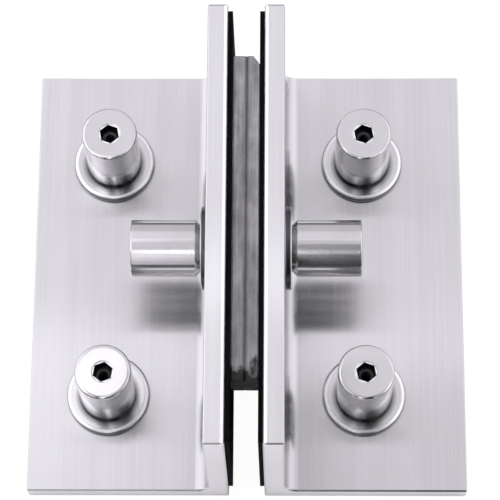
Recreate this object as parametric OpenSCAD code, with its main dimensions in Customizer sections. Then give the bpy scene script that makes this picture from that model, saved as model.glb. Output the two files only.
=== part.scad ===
// Clamp bracket for a glass panel: two steel angles grip the glass between rubber gaskets.
// Millimetres. Origin on the wall plane, in the middle of the glass slot, below the clamp bolt.
// X runs across the slot, Y along the glass edge, Z away from the wall.

/* [Angles] */
// Length of each angle along the glass edge
angle_length = 200; // [175:1:400]
// Width of the leg that lies on the wall, from the slot face
wall_leg_width = 90; // [80:1:150]
// Height of the flange beside the glass, from the wall
flange_leg_height = 90; // [82:1:150]
// Thickness of both legs
leg_thickness = 9; // [6:0.5:14]
// Radius of the fillet between the legs
root_radius = 6; // [2:0.5:10]
// Bevel along the outer edges of the legs
edge_bevel = 0.7; // [0.2:0.1:1.5]
// Rounding of the flange's free edge beside the glass
slot_edge_radius = 1.8; // [1.6:0.1:4]

/* [Glass slot] */
// Thickness of the glass panel
glass_thickness = 12; // [8:0.5:19]
// Thickness of each gasket
gasket_thickness = 2; // [1:0.5:4]
// Distance of the gasket's edges inside the flange's free edges
gasket_inset = 2; // [0.5:0.5:6]
// Radius of the gasket's corners
gasket_corner = 1.5; // [0.5:0.5:6]

/* [Packing strips] */
// Length of each strip
packer_length = 150; // [60:1:155]
// Depth of each strip into the slot
packer_depth = 15; // [8:0.5:19]
// Distance of the strips' middle from the clamp bolt, towards the back
packer_shift = 7; // [-10:0.5:9]
// Bevel along the strips' edges
packer_bevel = 0.6; // [0.2:0.1:1.2]
// Width taken off the right strip's back corner
corner_cut_width = 3; // [0.5:0.5:3.5]
// Length taken off the right strip's back corner
corner_cut_length = 4; // [0.5:0.5:12]

/* [Clamp bolt] */
// Height of the bolt above the wall
bolt_height = 50; // [44:0.5:54]
// Thread diameter of the clamp stud and of all the nuts
thread_diameter = 12; // [10:0.5:14]
// Depth of thread that the stud takes up in each nut
thread_grip = 17; // [8:0.5:18]
// Outer diameter of the bush in the glass hole
bush_diameter = 18; // [16:0.5:24]
// Bevel at the ends of the stud
stud_bevel = 1; // [0.4:0.1:2]

/* [Barrel nuts] */
// Diameter of the barrel
nut_diameter = 25; // [22:0.5:32]
// Length of the clamp nuts
clamp_nut_length = 31; // [28:0.5:48]
// Length of the wall nuts
wall_nut_length = 35; // [28:0.5:48]
// Rounding of the barrel's outer rim
nut_rim = 0.8; // [0.3:0.1:2]
// Bevel round the barrel's seat
seat_bevel = 2.5; // [0.4:0.1:3]
// Width across the flats of the hexagon socket
hex_width = 8; // [6.5:0.5:10]
// Depth of the hexagon socket
hex_depth = 6; // [3:0.5:7]
// Countersink round the hexagon socket
hex_countersink = 0.5; // [0.3:0.1:1.5]
// Diameter of the bore between the socket and the thread
pilot_diameter = 4.6; // [3:0.2:5]
// Width of the cone at the mouth of that bore
pilot_cone = 0.9; // [0.2:0.1:1]
// Depth of the threaded bore from the seat
thread_depth = 18; // [17.5:0.5:20]
// Countersink at the mouth of the threaded bore
thread_countersink = 0.8; // [0.3:0.1:1.5]

/* [Washers] */
// Diameter of the washers
washer_diameter = 37; // [36:0.5:44]
// Thickness of the washers
washer_thickness = 3; // [2:0.5:5]
// Rounding of the washers' rims
washer_rim = 0.9; // [0.3:0.1:1]

/* [Wall fixing] */
// Distance of the slots' middle from the slot face of their angle
slot_gauge = 49.5; // [46:0.5:58]
// Distance of the slots from the ends of their angle
slot_end_distance = 44; // [30:0.5:60]
// Adjustment each way along a slot; the left nuts sit at the outer end, the right ones at the inner end
slot_adjust = 5; // [1:0.5:5.5]
// Turn of the wall nuts on their studs: left front, left back, right front, right back
nut_turns = [-9, 10, 11, 10]; // [-30:1:30]

/* [Fits] */
// Play of a stud across a hole, a slot or a washer
hole_play = 1; // [0.4:0.1:2]
// Play of the stud in the bush
bush_play = 0.4; // [0.2:0.1:1]
// Play of the stud in a nut's thread
thread_play = 0.1; // [0.06:0.02:0.2]
// Gap between the bush and the strips that lie on it
rest_gap = 0.1; // [0.05:0.05:0.3]

/* [Hidden] */
$fn = 96;

// Reach of a cut past the face that it opens
past = 1;
// Half the distance between the two flanges
half_slot = glass_thickness / 2 + gasket_thickness;
// Outer face of a flange
flange_face = half_slot + leg_thickness;
hole_diameter = thread_diameter + hole_play;
packer_thickness = glass_thickness / 2;
packer_bottom = bolt_height + bush_diameter / 2 + rest_gap;
stud_length = 2 * (flange_face + washer_thickness + thread_grip);
// Rows of wall nuts, which sit at the ends of their slots
left_row = -(half_slot + slot_gauge + slot_adjust);
right_row = half_slot + slot_gauge - slot_adjust;
back_row = angle_length / 2 - slot_end_distance;
front_row = -back_row;

// Rectangle from the origin with rounded corners
module rounded_rectangle(width, height, radius) {
    translate([radius, 0]) square([width - 2 * radius, height]);
    translate([0, radius]) square([width, height - 2 * radius]);
    for (x = [radius, width - radius], y = [radius, height - radius])
        translate([x, y]) circle(radius);
}

// Half section of a washer, with both rims rounded
module washer_section() {
    radius = washer_diameter / 2;
    square([radius - washer_rim, washer_thickness]);
    translate([0, washer_rim]) square([radius, washer_thickness - 2 * washer_rim]);
    for (z = [washer_rim, washer_thickness - washer_rim])
        translate([radius - washer_rim, z]) circle(washer_rim);
}

// Half section of a barrel, with its seat bevelled and its outer rim rounded
module barrel_section(length) {
    radius = nut_diameter / 2;
    polygon([
        [0, 0], [radius - seat_bevel, 0], [radius, seat_bevel],
        [radius, length - nut_rim], [radius - nut_rim, length], [0, length]
    ]);
    translate([radius - nut_rim, length - nut_rim]) circle(nut_rim);
}

// Cut that rounds a corner at the origin, with the metal towards +X and -Y
module corner_cut(radius) {
    difference() {
        translate([-past, -radius]) square(radius + past);
        translate([radius, -radius]) circle(radius);
    }
}

// Section of an angle: its heel at the origin, the wall leg along X and the flange along Y
module angle_section() {
    fillet_edge = leg_thickness + root_radius;
    rounded_rectangle(wall_leg_width, leg_thickness, edge_bevel);
    difference() {
        rounded_rectangle(leg_thickness, flange_leg_height, edge_bevel);
        translate([0, flange_leg_height]) corner_cut(slot_edge_radius);
    }
    difference() {
        translate([edge_bevel, edge_bevel]) square(fillet_edge - edge_bevel);
        translate([fillet_edge, fillet_edge]) circle(root_radius);
    }
}

// Bar that cuts a bevel where its middle line lies on an edge; it runs along X
module edge_cut(length) {
    side = edge_bevel * sqrt(2);
    rotate([45, 0, 0]) cube([length, side, side], center = true);
}

// Bevels round the end face of an angle, on the plane Y = 0 with the metal behind it
module end_bevels() {
    fillet_edge = leg_thickness + root_radius;
    long = 2 * (wall_leg_width + flange_leg_height);
    for (z = [0, flange_leg_height])
        translate([0, 0, z]) edge_cut(long);
    translate([fillet_edge + long / 2, 0, leg_thickness]) edge_cut(long);
    for (x = [0, wall_leg_width])
        translate([x, 0, 0]) rotate([0, 90, 0]) edge_cut(long);
    translate([leg_thickness, 0, fillet_edge + long / 2]) rotate([0, 90, 0]) edge_cut(long);
    translate([fillet_edge, 0, fillet_edge])
        rotate([90, 0, 0]) cylinder(h = edge_bevel, r1 = root_radius + edge_bevel, r2 = root_radius);
}

// Round-ended slot through the wall leg, along X
module wall_slot() {
    tall = leg_thickness + 2 * past;
    for (x = [-slot_adjust, slot_adjust])
        translate([x, 0, -past]) cylinder(h = tall, d = hole_diameter);
    translate([-slot_adjust, -hole_diameter / 2, -past]) cube([2 * slot_adjust, hole_diameter, tall]);
}

// One angle, with its slot face on X = 0 and its wall leg towards +X
module angle() {
    difference() {
        translate([0, angle_length / 2, 0])
            rotate([90, 0, 0]) linear_extrude(angle_length) angle_section();
        for (side = [0, 1])
            mirror([0, side, 0]) translate([0, angle_length / 2, 0]) end_bevels();
        for (y = [front_row, back_row])
            translate([slot_gauge, y, 0]) wall_slot();
        translate([-past, 0, bolt_height])
            rotate([0, 90, 0]) cylinder(h = leg_thickness + 2 * past, d = hole_diameter);
    }
}

module angle_right() {
    color("silver") translate([half_slot, 0, 0]) angle();
}

module angle_left() {
    color("silver") rotate([0, 0, 180]) translate([half_slot, 0, 0]) angle();
}

// Gasket sheet, with its back on X = 0 and its face towards -X
module gasket() {
    width = angle_length - 2 * gasket_inset;
    height = flange_leg_height - leg_thickness - gasket_inset;
    difference() {
        translate([-gasket_thickness, -width / 2, leg_thickness])
            rotate([90, 0, 90]) linear_extrude(gasket_thickness)
                rounded_rectangle(width, height, gasket_corner);
        translate([-gasket_thickness - past, 0, bolt_height])
            rotate([0, 90, 0]) cylinder(h = gasket_thickness + 2 * past, d = hole_diameter);
    }
}

module gasket_right() {
    color("#161616") translate([half_slot, 0, 0]) gasket();
}

module gasket_left() {
    color("#161616") rotate([0, 0, 180]) translate([half_slot, 0, 0]) gasket();
}

// Section of a packing strip: its seam side on X = 0, its body towards +X
module packer_section() {
    width = packer_thickness;
    polygon([
        [packer_bevel, 0], [width - packer_bevel, 0],
        [width, packer_bevel], [width, packer_depth - packer_bevel],
        [width - packer_bevel, packer_depth], [packer_bevel, packer_depth],
        [0, packer_depth - packer_bevel], [0, packer_bevel]
    ]);
}

// Packing strip from Y = 0 towards +Y
module packer_bar() {
    translate([0, packer_length, 0]) rotate([90, 0, 0]) linear_extrude(packer_length) packer_section();
}

module packer_right() {
    back_corner = [packer_thickness, packer_length];
    color("#8d8d92")
        translate([0, packer_shift - packer_length / 2, packer_bottom])
            difference() {
                packer_bar();
                translate([0, 0, -past])
                    linear_extrude(packer_depth + 2 * past)
                        polygon([
                            back_corner + [past, past],
                            back_corner + [-corner_cut_width, past],
                            back_corner + [-corner_cut_width, 0],
                            back_corner + [0, -corner_cut_length],
                            back_corner + [past, -corner_cut_length]
                        ]);
            }
}

module packer_left() {
    color("#85858a")
        translate([0, packer_shift - packer_length / 2, packer_bottom])
            mirror([1, 0, 0]) packer_bar();
}

// Threaded stud of the clamp bolt, with bevelled ends
module clamp_stud() {
    radius = (thread_diameter - thread_play) / 2;
    color("lightgray")
        translate([-stud_length / 2, 0, bolt_height])
            rotate([0, 90, 0]) rotate_extrude()
                polygon([
                    [0, 0], [radius - stud_bevel, 0], [radius, stud_bevel],
                    [radius, stud_length - stud_bevel], [radius - stud_bevel, stud_length], [0, stud_length]
                ]);
}

// Bush that fills the glass hole between the gaskets
module glass_bush() {
    color("whitesmoke")
        translate([-glass_thickness / 2, 0, bolt_height])
            rotate([0, 90, 0]) difference() {
                cylinder(h = glass_thickness, d = bush_diameter);
                translate([0, 0, -past])
                    cylinder(h = glass_thickness + 2 * past, d = thread_diameter + bush_play);
            }
}

// Washer lying on Z = 0
module washer() {
    color("gainsboro") difference() {
        rotate_extrude() washer_section();
        translate([0, 0, -past]) cylinder(h = washer_thickness + 2 * past, d = hole_diameter);
    }
}

// Barrel nut with its seat on Z = 0: threaded from below, with a hexagon socket in the top
module barrel_nut(length) {
    thread_radius = thread_diameter / 2;
    pilot_radius = pilot_diameter / 2;
    hex_corner = hex_width / sqrt(3);
    hex_floor = length - hex_depth;
    color("silver") difference() {
        rotate_extrude() barrel_section(length);
        translate([0, 0, -past]) cylinder(h = thread_depth + past, r = thread_radius);
        cylinder(h = thread_countersink, r1 = thread_radius + thread_countersink, r2 = thread_radius);
        cylinder(h = length, r = pilot_radius);
        translate([0, 0, hex_floor - pilot_cone])
            cylinder(h = pilot_cone, r1 = pilot_radius, r2 = pilot_radius + pilot_cone);
        translate([0, 0, hex_floor])
            rotate([0, 0, 90]) cylinder(h = hex_depth + past, r = hex_corner, $fn = 6);
        translate([0, 0, length - hex_countersink])
            cylinder(h = hex_countersink, r1 = hex_corner, r2 = hex_corner + hex_countersink);
    }
}

// Puts a piece on the outer face of a flange, facing away from the glass; side is 1 right, -1 left
module on_flange(side, lift) {
    translate([side * (flange_face + lift), 0, bolt_height]) rotate([0, side * 90, 0]) children();
}

module clamp_washer(side) {
    on_flange(side, 0) washer();
}

module clamp_nut(side) {
    on_flange(side, washer_thickness) barrel_nut(clamp_nut_length);
}

module wall_washer(x, y) {
    translate([x, y, leg_thickness]) washer();
}

module wall_nut(x, y, turn) {
    translate([x, y, leg_thickness + washer_thickness])
        rotate([0, 0, turn]) barrel_nut(wall_nut_length);
}

angle_left();
angle_right();
gasket_left();
gasket_right();
packer_left();
packer_right();
clamp_stud();
glass_bush();
clamp_washer(-1);  // clamp_washer_left
clamp_washer(1);  // clamp_washer_right
clamp_nut(-1);  // clamp_nut_left
clamp_nut(1);  // clamp_nut_right
wall_washer(left_row, front_row);  // wall_washer_left_front
wall_washer(left_row, back_row);  // wall_washer_left_back
wall_washer(right_row, front_row);  // wall_washer_right_front
wall_washer(right_row, back_row);  // wall_washer_right_back
wall_nut(left_row, front_row, nut_turns[0]);  // wall_nut_left_front
wall_nut(left_row, back_row, nut_turns[1]);  // wall_nut_left_back
wall_nut(right_row, front_row, nut_turns[2]);  // wall_nut_right_front
wall_nut(right_row, back_row, nut_turns[3]);  // wall_nut_right_back
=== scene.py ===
"""Dresses the glass panel bracket: brushed steel angles, turned barrel nuts, gaskets and packing strips."""

import bpy
import numpy as np
from mathutils import Matrix, Vector


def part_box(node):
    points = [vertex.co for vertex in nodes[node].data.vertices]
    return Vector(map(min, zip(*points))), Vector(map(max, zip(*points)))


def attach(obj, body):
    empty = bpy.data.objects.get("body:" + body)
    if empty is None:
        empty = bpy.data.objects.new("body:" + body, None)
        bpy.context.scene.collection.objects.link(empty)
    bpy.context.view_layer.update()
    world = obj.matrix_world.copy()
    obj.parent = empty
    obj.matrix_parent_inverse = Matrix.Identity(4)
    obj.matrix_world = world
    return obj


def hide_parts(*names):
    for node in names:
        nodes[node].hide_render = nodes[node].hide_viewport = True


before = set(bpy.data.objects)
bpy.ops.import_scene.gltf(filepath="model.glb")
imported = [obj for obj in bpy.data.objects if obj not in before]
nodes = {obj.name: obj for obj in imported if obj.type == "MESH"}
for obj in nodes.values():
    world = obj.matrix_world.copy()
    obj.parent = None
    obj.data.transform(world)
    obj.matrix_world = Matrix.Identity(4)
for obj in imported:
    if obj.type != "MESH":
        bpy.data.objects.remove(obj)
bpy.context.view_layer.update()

MM = 0.001

# Camera: found by fitting the corners and circles of the bracket to the photograph
IMAGE_SIDE = 500
SENSOR = 36.0
FOCAL_PIXELS = 2396.0
CAMERA_ELEVATION = np.radians(70.5)
CAMERA_AZIMUTH = np.radians(2.94)
CAMERA_ROLL = np.radians(-2.73)
CAMERA_DISTANCE = 1103 * MM
CAMERA_TARGET = Vector((0.8 * MM, 13.7 * MM, 9 * MM))

# Thread of the clamp stud and of the barrel nuts; its root and crest are flat over a share of the pitch
THREAD_PITCH = 1.75 * MM
THREAD_HEIGHT = 0.85 * MM
THREAD_FLAT = 0.12
THREAD_SIDES = 48
THREAD_RINGS = 10

# Tapped bore of a nut, from the countersink at its seat, and the gap round the thread in it
BORE_RADIUS = 6.0 * MM
BORE_MOUTH = 0.8 * MM
BORE_DEPTH = 18.0 * MM
THREAD_GAP = 0.02 * MM

# Hexagon socket of a nut: half its width across the flats, its countersink and the drill cone below it
# The socket is painted dark as shade, and its countersink painted lighter as a highlight
SOCKET_HALF = 4.0 * MM
SOCKET_EDGE = 0.05 * MM
SOCKET_RIM = (5.1 * MM, 5.2 * MM)
SOCKET_ROUGHNESS = 0.4
DRILL_CONE = (3.1 * MM, 3.2 * MM)

# Turn of each wall nut on its stud, in degrees
NUT_TURNS = {
    "wall_nut_left_front": -9,
    "wall_nut_left_back": 10,
    "wall_nut_right_front": 11,
    "wall_nut_right_back": 10,
}

# Turned steel: fineness of its rings and clouds, their shares in the tone, and the height of a ring
RING_SCALE = 3000
RING_CLOUD = 60.0
RING_SHARES = (0.5, 0.5)
RING_RELIEF = 0.006 * MM

# Gloss of turned steel: roughness of each piece, its span, and how far it is stretched along the rings
TURNED_ROUGHNESS = {"washer": 0.17, "clamp_nut": 0.2, "wall_nut": 0.12}
ROUGHNESS_SPAN = (0.8, 1.25)
TURNED_STRETCH = 0.35
QUARTER_TURN = 0.25

# Painted shade on a wall washer round its nut: full inside the first radius, none outside the second
SEAT_SHADOW = (12.2 * MM, 15.0 * MM)
SEAT_SHADE = 0.18
# Shift of that painted shade to the front
SEAT_SHIFT = 0.9 * MM

# Rolled edges of washers and nut heads: where the flat starts to roll over, the rim and how far it drops
WASHER_ROLL = (16.2 * MM, 18.5 * MM, 0.4 * MM)
HEAD_ROLL = (10.6 * MM, 12.5 * MM, 0.3 * MM)

# Polished edge of a washer with a painted highlight, and painted shade on its rim, each from a radius to a
# radius
RIM_POLISH_AND_HIGHLIGHT = (16.6 * MM, 17.2 * MM)
RIM_ROUGHNESS = 0.12
RIM_SHADOW = (18.2 * MM, 18.45 * MM)
RIM_SHADE = 0.12

# Brushing along the angles: fineness across and along its lines, and their shares in the finish
FINE_LINES = (2600, 16, 2600)
BROAD_LINES = (160, 4, 160)
STEEL_CLOUD = (22, 14, 22)
LINE_SHARES = (0.55, 0.45)
CLOUD_SHARES = (0.6, 0.4)

# Gloss of brushed steel: its roughness, how far it is stretched, and the height and strength of the lines
BRUSHED_ROUGHNESS = (0.2, 0.24)
BRUSHED_STRETCH = 0.95
BRUSHED_RELIEF = (0.02 * MM, 0.12)

# Steel tones: darkest and lightest, and the span of the pattern between them
STEEL_TONES = (0.93, 1.05)
# Lighter tones painted as light on the flange tops, and as a highlight on the roundings beside the glass
TOP_LIGHT_TONES = (1.04, 1.17)
HIGHLIGHT_TONES = (0.95, 1.05)
TONE_SPAN = (0.35, 0.65)

# Painted light along the top of each flange, and a painted highlight on its rounding beside the glass
TOP_LIGHT_DEPTH = 0.4 * MM
SLOT_EDGE = 1.8 * MM
EDGE_BLEND = 0.1 * MM

# Packing strips: fineness of their streaks, blotches and patches, the finish, and the tone of each strip
STRIP_STREAKS = (900, 30, 900)
STRIP_BLOTCHES = (120, 60, 120)
STRIP_PATCHES = (260, 160, 260)
STRIP_SHARES = (0.4, 0.6)
STRIP_TONES = (0.6, 1.45)
STRIP_ROUGHNESS = (0.42, 0.6)
STRIP_RELIEF = (0.08 * MM, 0.4)
STRIP_SHEEN = 0.35
STRIP_FACTORS = {"packer_left": 1.2, "packer_right": 1.04}

# Strips darker: in a dirty joint, with painted shade on sawn ends, towards the front and in blotches there
JOINT_WIDTH = 1.5 * MM
JOINT_SHADE = 0.5
SAWN_END = 0.3 * MM
SAWN_SHADE = 0.25
FRONT_SHADE = 0.75
FRONT_BLOTCH_REACH = (2 * MM, 9 * MM)
FRONT_BLOTCH_SPREAD = 14 * MM
FRONT_BLOTCH_SHADE = 0.08

# Gaskets: fineness of the moulded grain and of the bloom, and the finish
RUBBER_GRAIN = 2200.0
RUBBER_BLOOM = 45.0
RUBBER_TONES = (0.7, 1.8)
RUBBER_ROUGHNESS = (0.7, 0.9)
RUBBER_RELIEF = (0.04 * MM, 0.4)
RUBBER_SHEEN = 0.03

# Rolled thread and nylon: fineness of the mottle, tones and roughness
THREAD_MOTTLE = 700.0
THREAD_TONES = (0.8, 1.1)
THREAD_ROUGHNESS = (0.25, 0.42)
NYLON_GRAIN = 900.0
NYLON_TONES = (0.95, 1.05)
NYLON_ROUGHNESS = (0.35, 0.45)

# Light tent, partly open in front: each panel's lowest and highest corner, the way it faces, its brightness
PANELS = {
    "panel_rear_left": ((-0.3, 0.19, 0.8), (-0.02, 1.0, 0.8), "down", 1.02),
    "panel_rear_right": ((-0.02, 0.19, 0.8), (0.3, 1.0, 0.8), "down", 0.96),
    "panel_far_left": ((-0.9, 0.19, 0.8), (-0.3, 1.0, 0.8), "down", 1.6),
    "panel_far_right": ((0.3, 0.19, 0.8), (0.9, 1.0, 0.8), "down", 1.4),
    "panel_strip_left": ((-0.25, 0.19, 0.79), (-0.03, 0.235, 0.79), "down", 0.5),
    "panel_strip_right": ((-0.03, 0.19, 0.79), (0.2, 0.235, 0.79), "down", 0.25),
    "panel_back_left": ((-0.9, 0.06, 0.8), (-0.09, 0.19, 0.8), "down", 1.54),
    "panel_back_middle": ((-0.09, 0.06, 0.8), (0.05, 0.19, 0.8), "down", 0.58),
    "panel_back_right": ((0.05, 0.06, 0.8), (0.9, 0.19, 0.8), "down", 0.93),
    "panel_spot": ((-0.18, 0.12, 0.79), (-0.08, 0.22, 0.79), "down", 0.26),
    "panel_middle": ((-0.27, -0.03, 0.8), (0.3, 0.06, 0.8), "down", 0.8),
    "panel_gap_left": ((-0.27, -0.38, 0.8), (-0.015, -0.03, 0.8), "down", 0.34),
    "panel_gap_middle": ((-0.11, -0.38, 0.79), (-0.04, -0.03, 0.79), "down", 1.15),
    "panel_gap_right": ((0.02, -0.38, 0.8), (0.075, -0.03, 0.8), "down", 0.65),
    "panel_left": ((-0.9, -0.42, 0.8), (-0.27, 0.06, 0.8), "down", 2.5),
    "panel_right": ((0.3, -0.42, 0.8), (0.9, 0.06, 0.8), "down", 1.8),
    "panel_front_left": ((-0.12, -0.7, 0.8), (-0.03, -0.38, 0.8), "down", 4.0),
    "panel_front_right": ((0.0, -0.7, 0.8), (0.12, -0.38, 0.8), "down", 0.5),
    "wall_front_upper": ((-0.2, -0.7, 0.53), (-0.03, -0.7, 0.77), "back", 1.8),
    "wall_front_middle": ((-0.2, -0.7, 0.29), (-0.03, -0.7, 0.53), "back", 1.3),
    "wall_front_lower": ((-0.2, -0.7, 0.05), (-0.03, -0.7, 0.29), "back", 0.95),
    "wall_front_left": ((-0.9, -0.7, 0.05), (-0.3, -0.7, 0.77), "back", 0.7),
    "wall_front_right": ((0.3, -0.7, 0.05), (0.9, -0.7, 0.77), "back", 0.7),
    "wall_back": ((-0.9, 1.0, 0.0), (0.9, 1.0, 0.8), "front", 0.75),
    "wall_left": ((-0.9, -0.7, 0.0), (-0.9, 1.0, 0.8), "right", 1.4),
    "wall_right": ((0.9, -0.7, 0.0), (0.9, 1.0, 0.8), "left", 1.2),
}
PANEL_TURN = {
    "down": (0, 0, 0),
    "front": (-90, 0, 0),
    "back": (90, 0, 0),
    "right": (0, -90, 0),
    "left": (0, 90, 0),
}
# Faint violet of the light
LAMP_TINT = (1.009, 0.978, 1.050)

# Room round the tent: brightness low and overhead, where it changes, and the fill for matt surfaces
ROOM_LEVEL = (0.05, 0.09)
ROOM_SPAN = (0.3, 0.9)
FILL_LEVEL = 0.25

# Floor: half its side, and the glow that the camera sees
FLOOR_HALF = 4.0
FLOOR_GLOW = 0.96

# Paper that mirrors see: where it fades into the room, the square under the bracket, and its glow
PAPER_EDGE = (0.14, 0.22)
PAPER_CLEAR = (0.1, 0.102)
PAPER_GLOW = 0.26
PAPER_ROUGHNESS = 0.9

# Colours
STEEL = (0.575, 0.574, 0.577)
BRIGHT_STEEL = (0.61, 0.609, 0.611)
# Painted highlight on the slot roundings and on the socket countersinks
HIGHLIGHT_STEEL = (0.874, 0.873, 0.876)
# Painted highlight on the washers' rounded edges
RIM_HIGHLIGHT_STEEL = (0.794, 0.793, 0.796)
DULL_STEEL = (0.45, 0.44, 0.45)
# Painted shade in the nut sockets and over their drill cones
SOCKET_SHADE_DARK = (0.02, 0.02, 0.021)
CONE_SHADE_GREY = (0.22, 0.215, 0.225)
RUBBER_BLACK = (0.0025, 0.0025, 0.0028)
STRIP_GREY = (0.595, 0.592, 0.596)
NYLON_WHITE = (0.78, 0.77, 0.73)
PAPER_WHITE = (0.93, 0.93, 0.93)
ROOM_DARK = (0.08, 0.08, 0.08)
FLOOR_SHADE = (0.07, 0.07, 0.07)


def box_of(node):
    """Lowest and highest corner of a CAD node as arrays, and its middle."""
    low, high = (np.array(corner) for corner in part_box(node))
    return low, high, (low + high) / 2


def shade(colour, factor):
    """A colour made darker or lighter by a factor."""
    return tuple(channel * factor for channel in colour)


def fill(node, **values):
    """Sets input values of a shader node; an underscore in a name stands for a space."""
    for name, value in values.items():
        node.inputs[name.replace("_", " ")].default_value = value


class Shader:
    """Node tree of one material: adds nodes, joins sockets and reads Object coordinates."""

    def __init__(self, name):
        self.material = bpy.data.materials.new(name)
        self.material.use_nodes = True
        self.tree = self.material.node_tree
        self.tree.nodes.clear()
        self.output = self.add("ShaderNodeOutputMaterial")
        self.surface = self.add("ShaderNodeBsdfPrincipled")
        self.join(self.surface.outputs["BSDF"], self.output.inputs["Surface"])

    def add(self, kind, **settings):
        """A node with its settings."""
        node = self.tree.nodes.new(kind)
        for key, value in settings.items():
            setattr(node, key, value)
        return node

    def join(self, source, target):
        self.tree.links.new(source, target)

    def place(self, location=(0, 0, 0), rotation=(0, 0, 0), scale=(1, 1, 1)):
        """Object coordinates moved, turned and stretched by a Mapping node."""
        coordinates = self.add("ShaderNodeTexCoord")
        mapping = self.add("ShaderNodeMapping", vector_type="POINT")
        fill(mapping, Location=location, Rotation=rotation, Scale=scale)
        self.join(coordinates.outputs["Object"], mapping.inputs["Vector"])
        return mapping.outputs["Vector"]

    def noise(self, vector, scale=1.0, detail=2.0, roughness=0.5):
        texture = self.add("ShaderNodeTexNoise", noise_dimensions="3D")
        fill(texture, Scale=scale, Detail=detail, Roughness=roughness)
        self.join(vector, texture.inputs["Vector"])
        return texture.outputs["Fac"]

    def spread(self, value, low, high, start=0.3, end=0.7):
        """Maps the span start to end of a value onto low to high."""
        ranged = self.add("ShaderNodeMapRange")
        fill(ranged, From_Min=start, From_Max=end, To_Min=low, To_Max=high)
        self.join(value, ranged.inputs["Value"])
        return ranged.outputs["Result"]

    def math(self, first, second, operation="ADD"):
        """Two values, or a value and a number, put together by an operation."""
        node = self.add("ShaderNodeMath", operation=operation)
        self.join(first, node.inputs[0])
        if isinstance(second, float):
            node.inputs[1].default_value = second
        else:
            self.join(second, node.inputs[1])
        return node.outputs[0]

    def product(self, first, *others):
        """Values multiplied together."""
        for other in others:
            first = self.math(first, other, "MULTIPLY")
        return first

    def weigh(self, first, second, shares):
        """Sum of two values, each times its share."""
        return self.math(self.product(first, shares[0]), self.product(second, shares[1]))

    def size(self, value):
        """A number without its sign."""
        return self.math(value, 0.0, "ABSOLUTE")

    def split(self, vector):
        """X, Y and Z of a vector."""
        parts = self.add("ShaderNodeSeparateXYZ")
        self.join(vector, parts.inputs["Vector"])
        return parts.outputs

    def length(self, vector):
        """Length of a vector."""
        node = self.add("ShaderNodeVectorMath", operation="LENGTH")
        self.join(vector, node.inputs[0])
        return node.outputs["Value"]

    def ramp(self, value, colour, tones, span=(0.3, 0.7)):
        """A colour in its darkest to its lightest tone as the value goes through the span."""
        return self.fade(value, shade(colour, tones[0]), shade(colour, tones[1]), span)

    def fade(self, value, first, second, span):
        """Colour that runs from the first to the second as the value goes through the span."""
        ramp = self.add("ShaderNodeValToRGB")
        for element, position, colour in zip(ramp.color_ramp.elements, span, (first, second)):
            element.position = position
            element.color = (*colour, 1)
        self.join(value, ramp.inputs["Fac"])
        return ramp.outputs["Color"]

    def blend(self, factor, first, second):
        """Colour that is the first where the factor is 0 and the second where it is 1. The node's sockets
        for colours come after those for numbers and vectors."""
        mixed = self.add("ShaderNodeMix", data_type="RGBA")
        self.join(factor, mixed.inputs["Factor"])
        for socket, colour in zip((mixed.inputs[6], mixed.inputs[7]), (first, second)):
            if isinstance(colour, tuple):
                socket.default_value = (*colour, 1)
            else:
                self.join(colour, socket)
        return mixed.outputs[2]

    def darken(self, colour, darkening):
        """Colour times a value that is 1 where it is left as it is and less where it is darker, soiled in
        some places and painted with shade in others.
        """
        soiled = self.add("ShaderNodeVectorMath", operation="SCALE")
        self.join(colour, soiled.inputs[0])
        self.join(darkening, soiled.inputs["Scale"])
        return soiled.outputs["Vector"]

    def roll(self, radius, start, end, drop):
        """Height of a flat that rolls over: minus the drop times the square of the way out to its rim."""
        way = self.spread(radius, 0.0, 1.0, start, end)
        return self.product(way, way, -drop)

    def cover(self, colour, roughness):
        """Joins the colour and the roughness to the surface."""
        self.join(colour, self.surface.inputs["Base Color"])
        self.join(roughness, self.surface.inputs["Roughness"])

    def bump(self, height, distance, strength=1.0):
        bump = self.add("ShaderNodeBump")
        fill(bump, Strength=strength, Distance=distance)
        self.join(height, bump.inputs["Height"])
        self.join(bump.outputs["Normal"], self.surface.inputs["Normal"])

    def tangent(self, axis):
        """Lays the stretch of the gloss round an axis through the middle of the piece."""
        tangent = self.add("ShaderNodeTangent", direction_type="RADIAL", axis=axis)
        self.join(tangent.outputs["Tangent"], self.surface.inputs["Tangent"])


def brushed_angle_steel(flange_top, slot_face):
    """Satin steel brushed along Y: long fine lines set the roughness, the tone and a slight relief. The
    flanges' top edges are painted in lighter tones as painted light, and their roundings beside the glass
    carry a painted highlight."""
    shader = Shader("angle_steel_brushed")
    fill(shader.surface, Metallic=1.0, Anisotropic=BRUSHED_STRETCH)
    fine = shader.noise(shader.place(scale=FINE_LINES), detail=3.0)
    broad = shader.noise(shader.place(scale=BROAD_LINES))
    cloud = shader.noise(shader.place(scale=STEEL_CLOUD))
    lines = shader.weigh(fine, broad, LINE_SHARES)
    tone = shader.weigh(lines, cloud, CLOUD_SHARES)
    parts = shader.split(shader.place())
    # Painted light: the top of each flange is painted in lighter tones
    steel = shader.blend(
        shader.spread(parts["Z"], 0.0, 1.0, flange_top - TOP_LIGHT_DEPTH, flange_top),
        shader.ramp(tone, STEEL, STEEL_TONES, TONE_SPAN),
        shader.ramp(tone, STEEL, TOP_LIGHT_TONES, TONE_SPAN),
    )
    # Painted highlight on the roundings beside the glass
    inner = slot_face + SLOT_EDGE
    lower = flange_top - SLOT_EDGE
    edge = shader.product(
        shader.spread(shader.size(parts["X"]), 1.0, 0.0, inner - EDGE_BLEND, inner + EDGE_BLEND),
        shader.spread(parts["Z"], 0.0, 1.0, lower - EDGE_BLEND, lower + EDGE_BLEND),
    )
    highlighted = shader.ramp(tone, HIGHLIGHT_STEEL, HIGHLIGHT_TONES, TONE_SPAN)
    shader.cover(shader.blend(edge, steel, highlighted), shader.spread(lines, *BRUSHED_ROUGHNESS))
    shader.bump(fine, *BRUSHED_RELIEF)
    shader.tangent("Y")
    return shader.material


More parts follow.
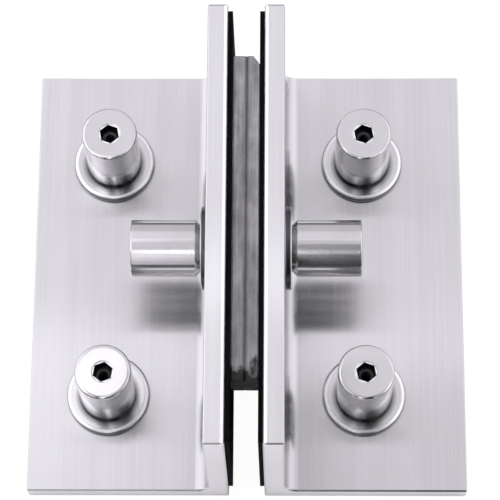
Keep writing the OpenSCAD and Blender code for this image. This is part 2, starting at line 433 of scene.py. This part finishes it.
class TurnedSteel(Shader):
    """Steel turned about an axis through the middle of a node: fine rings, spaced by the distance from the
    axis plus the height along it, set the tone, the roughness and a slight relief."""

    def __init__(self, node, axis, colour, roughness):
        super().__init__(f"{node}_turned")
        fill(self.surface, Metallic=1.0, Anisotropic=TURNED_STRETCH, Anisotropic_Rotation=QUARTER_TURN)
        lean = {"X": -np.pi / 2, "Z": 0}[axis]
        moved = Matrix.Rotation(lean, 3, "Y") @ Vector(box_of(node)[2])
        point = self.place(location=tuple(-moved), rotation=(0, lean, 0))
        parts = self.split(point)
        across = self.add("ShaderNodeCombineXYZ")
        self.join(parts["X"], across.inputs["X"])
        self.join(parts["Y"], across.inputs["Y"])
        self.across = across.outputs["Vector"]
        self.radius = self.length(self.across)
        rings = self.add("ShaderNodeTexNoise", noise_dimensions="1D")
        fill(rings, Scale=RING_SCALE, Detail=3.0)
        self.join(self.math(self.radius, parts["Z"]), rings.inputs["W"])
        ring = rings.outputs["Fac"]
        tone = self.weigh(ring, self.noise(point, scale=RING_CLOUD), RING_SHARES)
        self.steel = self.ramp(tone, colour, STEEL_TONES, TONE_SPAN)
        self.rough = self.spread(ring, *(roughness * share for share in ROUGHNESS_SPAN))
        self.relief = self.product(ring, RING_RELIEF)
        self.tangent(axis)

    def close(self):
        """The material, with its colour, roughness and relief joined to the surface."""
        self.cover(self.steel, self.rough)
        self.bump(self.relief, 1.0)
        return self.material


def washer_steel(node, axis):
    """Washer: its edge, turned smoother and painted lighter as a highlight, rolls over to a rim with painted
    shade, and on the wall there is painted shade round its nut.
    """
    shader = TurnedSteel(node, axis, STEEL, TURNED_ROUGHNESS["washer"])
    radius = shader.radius
    # Painted highlight: the smoother edge is painted a lighter steel
    highlighted = shader.blend(shader.spread(radius, 0.0, 1.0, *RIM_POLISH_AND_HIGHLIGHT), shader.steel, RIM_HIGHLIGHT_STEEL)
    # Painted shade on the washer's rim
    darkening = shader.spread(radius, 1.0, RIM_SHADE, *RIM_SHADOW)
    # Painted shade round the nut on a wall washer, shifted to the front
    if axis == "Z":
        shifted = shader.add("ShaderNodeVectorMath", operation="ADD")
        shifted.inputs[1].default_value = (0, SEAT_SHIFT, 0)
        shader.join(shader.across, shifted.inputs[0])
        joint = shader.length(shifted.outputs["Vector"])
        darkening = shader.product(darkening, shader.spread(joint, SEAT_SHADE, 1.0, *SEAT_SHADOW))
    shader.steel = shader.darken(highlighted, darkening)
    shader.rough = shader.math(shader.rough, shader.spread(radius, 0.0, RIM_ROUGHNESS, *RIM_POLISH_AND_HIGHLIGHT))
    shader.relief = shader.math(shader.relief, shader.roll(radius, *WASHER_ROLL))
    return shader.close()


def nut_steel(node, axis, turn):
    """Barrel nut: painted shade inside a hexagon of the socket's half width, less dark over the drill cone,
    a painted highlight on the countersink round it, and on the wall rolled over at the edge of its head."""
    kind = "clamp_nut" if axis == "X" else "wall_nut"
    shader = TurnedSteel(node, axis, BRIGHT_STEEL, TURNED_ROUGHNESS[kind])
    radius = shader.radius
    flats = None
    for angle in np.radians((turn, turn + 60, turn + 120)):
        reach = shader.add("ShaderNodeVectorMath", operation="DOT_PRODUCT")
        reach.inputs[1].default_value = (np.cos(angle), np.sin(angle), 0)
        shader.join(shader.across, reach.inputs[0])
        side = shader.size(reach.outputs["Value"])
        flats = side if flats is None else shader.math(flats, side, "MAXIMUM")
    # Painted shade in the socket, less dark over the drill cone
    socket = shader.blend(shader.spread(radius, 0.0, 1.0, *DRILL_CONE), CONE_SHADE_GREY, SOCKET_SHADE_DARK)
    # Painted highlight on the countersink
    rim = shader.blend(shader.spread(radius, 0.0, 1.0, *SOCKET_RIM), HIGHLIGHT_STEEL, shader.steel)
    outside = shader.spread(flats, 0.0, 1.0, SOCKET_HALF, SOCKET_HALF + SOCKET_EDGE)
    shader.steel = shader.blend(outside, socket, rim)
    shader.rough = shader.math(shader.rough, shader.spread(radius, SOCKET_ROUGHNESS, 0.0, *SOCKET_RIM))
    if axis == "Z":
        facing = shader.split(shader.add("ShaderNodeNewGeometry").outputs["Normal"])
        upper = shader.spread(facing["Z"], 0.0, 1.0)
        shader.relief = shader.math(shader.relief, shader.product(shader.roll(radius, *HEAD_ROLL), upper))
    return shader.close()


def rolled_thread_steel():
    """Plain rolled steel of the threads, slightly mottled."""
    shader = Shader("stud_steel_rolled")
    fill(shader.surface, Metallic=1.0)
    mottle = shader.noise(shader.place(), scale=THREAD_MOTTLE, detail=3.0)
    shader.cover(shader.ramp(mottle, DULL_STEEL, THREAD_TONES), shader.spread(mottle, *THREAD_ROUGHNESS))
    return shader.material


def gasket_rubber():
    """Matt black sheet rubber with a fine moulded grain and a faint bloom."""
    shader = Shader("gasket_rubber_sheet")
    fill(shader.surface, Specular_IOR_Level=RUBBER_SHEEN)
    grain = shader.noise(shader.place(), scale=RUBBER_GRAIN)
    bloom = shader.noise(shader.place(), scale=RUBBER_BLOOM, detail=3.0)
    shader.cover(shader.ramp(bloom, RUBBER_BLACK, RUBBER_TONES), shader.spread(grain, *RUBBER_ROUGHNESS))
    shader.bump(grain, *RUBBER_RELIEF)
    return shader.material


def strip_plastic(node):
    """Matt grey packing strip, cut from sheet: long drawn streaks, blotches and a dull sheen, darker in the
    dirty joint, with painted shade at the sawn ends, and towards the front."""
    shader = Shader(node.replace("packer", "packer_plastic"))
    fill(shader.surface, Specular_IOR_Level=STRIP_SHEEN)
    low, high, middle = box_of(node)
    half = (high[1] - low[1]) / 2
    streak = shader.noise(shader.place(scale=STRIP_STREAKS), detail=3.0)
    blotch = shader.noise(shader.place(scale=STRIP_BLOTCHES), detail=4.0, roughness=0.6)
    patch = shader.noise(shader.place(scale=STRIP_PATCHES), detail=3.0)
    mixed = shader.weigh(streak, blotch, STRIP_SHARES)
    parts = shader.split(shader.place(location=(0, -middle[1], 0)))
    joint = shader.spread(shader.size(parts["X"]), JOINT_SHADE, 1.0, 0.0, JOINT_WIDTH)
    front = shader.spread(parts["Y"], FRONT_SHADE, 1.0, -half, half)
    # Painted shade on the sawn ends
    ends = shader.spread(shader.size(parts["Y"]), 1.0, SAWN_SHADE, half - SAWN_END, half - SAWN_END / 2)
    reach = shader.math(parts["Y"], shader.spread(patch, -FRONT_BLOTCH_SPREAD / 2, FRONT_BLOTCH_SPREAD / 2))
    front_blotches = shader.spread(reach, FRONT_BLOTCH_SHADE, 1.0, FRONT_BLOTCH_REACH[0] - half, FRONT_BLOTCH_REACH[1] - half)
    grey = shader.ramp(mixed, shade(STRIP_GREY, STRIP_FACTORS[node]), STRIP_TONES, TONE_SPAN)
    darkening = shader.product(joint, front, ends, front_blotches)
    shader.cover(shader.darken(grey, darkening), shader.spread(mixed, *STRIP_ROUGHNESS))
    shader.bump(mixed, *STRIP_RELIEF)
    return shader.material


def bush_nylon():
    """Natural white nylon, slightly glossy."""
    shader = Shader("bush_nylon_white")
    grain = shader.noise(shader.place(), scale=NYLON_GRAIN)
    shader.cover(shader.ramp(grain, NYLON_WHITE, NYLON_TONES), shader.spread(grain, *NYLON_ROUGHNESS))
    return shader.material


def dress(node, material):
    """Gives a CAD node one material in every slot."""
    slots = nodes[node].data.materials
    for index in range(len(slots)):
        slots[index] = material
    if not slots:
        slots.append(material)


def make_piece(name, points, faces, material):
    """Mesh object at the origin, smooth shaded, which rides on the bracket's one body."""
    mesh = bpy.data.meshes.new(name)
    mesh.from_pydata(points.reshape(-1, 3).tolist(), [], faces)
    mesh.polygons.foreach_set("use_smooth", np.ones(len(mesh.polygons), bool))
    mesh.materials.append(material)
    mesh.update()
    piece = bpy.data.objects.new(name, mesh)
    bpy.context.scene.collection.objects.link(piece)
    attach(piece, "root")
    return piece


def ring_faces(rings, sides, closed=False):
    """Quads of a grid of rings, each closed on itself; the last ring joins the first where it is closed."""
    row = np.arange(rings if closed else rings - 1)[:, None]
    step = np.arange(sides)[None, :]
    after = (step + 1) % sides
    start, end = row * sides, (row + 1) % rings * sides
    return np.stack([start + step, start + after, end + after, end + step], -1).reshape(-1, 4).tolist()


def cap_faces(middle, first, sides, facing):
    """Triangles from a middle point to a ring whose points start at first; facing 1 keeps the ring's own way
    round, and -1 turns it."""
    step = np.arange(sides)
    after = (step + 1) % sides
    edge = np.stack([first + step, first + after], -1)[:, ::facing]
    return np.column_stack([np.full(sides, middle), edge]).tolist()


def thread_wave(along, turn):
    """Thread profile from 0 in the root to 1 on the crest: a triangle wave, with flat root and crest, of the
    distance along over the pitch, less the share of a turn round."""
    turns = along / THREAD_PITCH - turn / (2 * np.pi)
    wave = np.abs((turns % 1.0) * 2 - 1)
    return np.clip((wave - THREAD_FLAT) / (1 - 2 * THREAD_FLAT), 0, 1)


def thread_grid(length):
    """Distances along a thread, as a column, and turns round it, as a row."""
    rings = int(length / THREAD_PITCH * THREAD_RINGS)
    along = np.linspace(0, length, rings)[:, None]
    turn = np.linspace(0, 2 * np.pi, THREAD_SIDES, endpoint=False)[None, :]
    return rings, along, turn


def end_taper(along, length):
    """Height of the thread from 0 at both ends to 1 within the thread's own height."""
    return np.clip(np.minimum(along, length - along) / THREAD_HEIGHT, 0, 1)


def threaded_stud(node, material):
    """Clamp stud: a bar along X whose radius is the crest's, less the thread's height times one minus the
    thread wave; both ends taper to the root and close on a middle point."""
    low, high, middle = box_of(node)
    crest = (high[2] - low[2]) / 2
    length = high[0] - low[0]
    rings, along, turn = thread_grid(length)
    radius = crest - THREAD_HEIGHT * (1 - thread_wave(along, turn) * end_taper(along, length))
    points = np.stack(
        [low[0] + along + 0 * turn, middle[1] + radius * np.cos(turn), middle[2] + radius * np.sin(turn)], -1
    ).reshape(-1, 3)
    ends = np.array([[low[0], middle[1], middle[2]], [high[0], middle[1], middle[2]]])
    start = rings * THREAD_SIDES
    faces = ring_faces(rings, THREAD_SIDES)
    faces += cap_faces(start, 0, THREAD_SIDES, -1)
    faces += cap_faces(start + 1, start - THREAD_SIDES, THREAD_SIDES, 1)
    piece = make_piece("clamp_stud_thread", np.vstack([points, ends]), faces, material)
    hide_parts(node)


def bore_thread(node, material):
    """Thread in a wall nut's bore: a closed ring whose inner radius is the bore's, less the thread's height
    times the thread wave; both ends taper out to the bore."""
    low, _, middle = box_of(node)
    length = BORE_DEPTH - BORE_MOUTH
    rings, height, turn = thread_grid(length)
    height = height[::-1]
    outer = BORE_RADIUS - THREAD_GAP
    inner = outer - THREAD_GAP - THREAD_HEIGHT * thread_wave(height, turn) * end_taper(height, length)
    radius = np.vstack([np.full((2, THREAD_SIDES), outer), inner])
    height = np.vstack([[[0.0]], [[length]], height])
    points = np.stack(
        [
            middle[0] + radius * np.cos(turn),
            middle[1] + radius * np.sin(turn),
            low[2] + BORE_MOUTH + height + 0 * turn,
        ],
        -1,
    )
    faces = ring_faces(rings + 2, THREAD_SIDES, closed=True)
    make_piece(f"{node}_thread", points, faces, material)


def white_stage():
    """White paper that takes the bracket's shadow. Mirrors see a sheet that ends in a dim room; the camera
    sees it lit through from below, so that the slot between the flanges stays white."""
    half = FLOOR_HALF
    corners = [(-half, -half, 0), (half, -half, 0), (half, half, 0), (-half, half, 0)]
    mesh = bpy.data.meshes.new("floor")
    mesh.from_pydata(corners, [], [(0, 1, 2, 3)])
    floor = bpy.data.objects.new("floor", mesh)
    bpy.context.scene.collection.objects.link(floor)
    shader = Shader("floor_white")
    lit = shader.surface
    paper = shader.add("ShaderNodeBsdfPrincipled")
    for sheet in (lit, paper):
        fill(sheet, Roughness=PAPER_ROUGHNESS, Specular_IOR_Level=0.0)
    fill(lit, Base_Color=(*FLOOR_SHADE, 1), Emission_Color=(1, 1, 1, 1), Emission_Strength=FLOOR_GLOW)
    fill(paper, Emission_Color=(*LAMP_TINT, 1))
    place = shader.place()
    distance = shader.length(place)
    shader.join(shader.fade(distance, PAPER_WHITE, ROOM_DARK, PAPER_EDGE), paper.inputs["Base Color"])
    parts = shader.split(place)
    square = shader.math(shader.size(parts["X"]), shader.size(parts["Y"]), "MAXIMUM")
    glow = shader.product(
        shader.spread(square, 0.0, PAPER_GLOW, *PAPER_CLEAR), shader.spread(distance, 1.0, 0.0, *PAPER_EDGE)
    )
    shader.join(glow, paper.inputs["Emission Strength"])
    path = shader.add("ShaderNodeLightPath")
    shown = shader.add("ShaderNodeMixShader")
    shader.join(path.outputs["Is Camera Ray"], shown.inputs["Fac"])
    shader.join(paper.outputs["BSDF"], shown.inputs[1])
    shader.join(lit.outputs["BSDF"], shown.inputs[2])
    shader.join(shown.outputs["Shader"], shader.output.inputs["Surface"])
    mesh.materials.append(shader.material)


def soft_panel(name, low, high, facing, level):
    """Flat lamp between two corners, turned to face into the tent; its power is pi times its area times its
    brightness."""
    low, high = np.array(low), np.array(high)
    wide, deep, tall = high - low
    data = bpy.data.lights.new(name, "AREA")
    data.shape = "RECTANGLE"
    sides = {"down": (wide, deep), "front": (wide, tall), "back": (wide, tall)}
    data.size, data.size_y = sides.get(facing, (tall, deep))
    data.energy = np.pi * level * data.size * data.size_y
    data.color = LAMP_TINT
    panel = bpy.data.objects.new(name, data)
    panel.location = (low + high) / 2
    panel.rotation_euler = np.radians(PANEL_TURN[facing])
    bpy.context.scene.collection.objects.link(panel)


def studio_world():
    """White surround for the camera, plain fill for matt surfaces, and for mirrors a dim room that is
    lighter overhead."""
    world = bpy.data.worlds.new("studio")
    bpy.context.scene.world = world
    world.use_nodes = True
    tree = world.node_tree
    tree.nodes.clear()
    join = tree.links.new

    def background(strength):
        node = tree.nodes.new("ShaderNodeBackground")
        fill(node, Strength=strength)
        return node

    def mix(factor, first, second):
        node = tree.nodes.new("ShaderNodeMixShader")
        join(factor, node.inputs["Fac"])
        join(first.outputs[0], node.inputs[1])
        join(second.outputs[0], node.inputs[2])
        return node

    path = tree.nodes.new("ShaderNodeLightPath")
    direction = tree.nodes.new("ShaderNodeTexCoord")
    split = tree.nodes.new("ShaderNodeSeparateXYZ")
    join(direction.outputs["Generated"], split.inputs["Vector"])
    overhead = tree.nodes.new("ShaderNodeMapRange")
    fill(overhead, From_Min=ROOM_SPAN[0], From_Max=ROOM_SPAN[1], To_Min=ROOM_LEVEL[0], To_Max=ROOM_LEVEL[1])
    join(split.outputs["Z"], overhead.inputs["Value"])
    room = background(1.0)
    join(overhead.outputs["Result"], room.inputs["Strength"])
    seen = mix(path.outputs["Is Glossy Ray"], background(FILL_LEVEL), room)
    shown = mix(path.outputs["Is Camera Ray"], seen, background(1.0))
    output = tree.nodes.new("ShaderNodeOutputWorld")
    join(shown.outputs[0], output.inputs["Surface"])


def photo_camera():
    """Camera at the photograph's viewing angle: it stands back from the target along the line of sight and
    is rolled about that line."""
    sight = Vector((
        np.sin(CAMERA_AZIMUTH) * np.cos(CAMERA_ELEVATION),
        -np.cos(CAMERA_AZIMUTH) * np.cos(CAMERA_ELEVATION),
        np.sin(CAMERA_ELEVATION),
    ))
    level = Vector((np.cos(CAMERA_AZIMUTH), np.sin(CAMERA_AZIMUTH), 0))
    upright = sight.cross(level)
    right = np.cos(CAMERA_ROLL) * level + np.sin(CAMERA_ROLL) * upright
    up = -np.sin(CAMERA_ROLL) * level + np.cos(CAMERA_ROLL) * upright
    data = bpy.data.cameras.new("camera")
    data.sensor_width = SENSOR
    data.lens = FOCAL_PIXELS / IMAGE_SIDE * SENSOR
    camera = bpy.data.objects.new("camera", data)
    turned = Matrix((right, up, sight)).transposed().to_4x4()
    camera.matrix_world = Matrix.Translation(CAMERA_TARGET + sight * CAMERA_DISTANCE) @ turned
    bpy.context.scene.collection.objects.link(camera)
    bpy.context.scene.camera = camera


# Materials on the CAD nodes
angle_low, angle_high, _ = box_of("angle_right")
angle_steel = brushed_angle_steel(flange_top=angle_high[2], slot_face=angle_low[0])
rubber = gasket_rubber()
thread_steel = rolled_thread_steel()
for side in ("left", "right"):
    dress(f"angle_{side}", angle_steel)
    dress(f"gasket_{side}", rubber)
    dress(f"packer_{side}", strip_plastic(f"packer_{side}"))
dress("glass_bush", bush_nylon())
dress("clamp_stud", thread_steel)
for node in nodes:
    axis = "X" if node.startswith("clamp") else "Z"
    if "_washer_" in node:
        dress(node, washer_steel(node, axis))
    elif "_nut_" in node:
        dress(node, nut_steel(node, axis, NUT_TURNS.get(node, 0)))

# Threads
for node in NUT_TURNS:
    bore_thread(node, thread_steel)
threaded_stud("clamp_stud", thread_steel)

# Studio
white_stage()
studio_world()
for name, panel in PANELS.items():
    soft_panel(name, *panel)
photo_camera()
bpy.context.scene.view_settings.view_transform = "Standard"

# Scene brought up to date
bpy.context.view_layer.update()
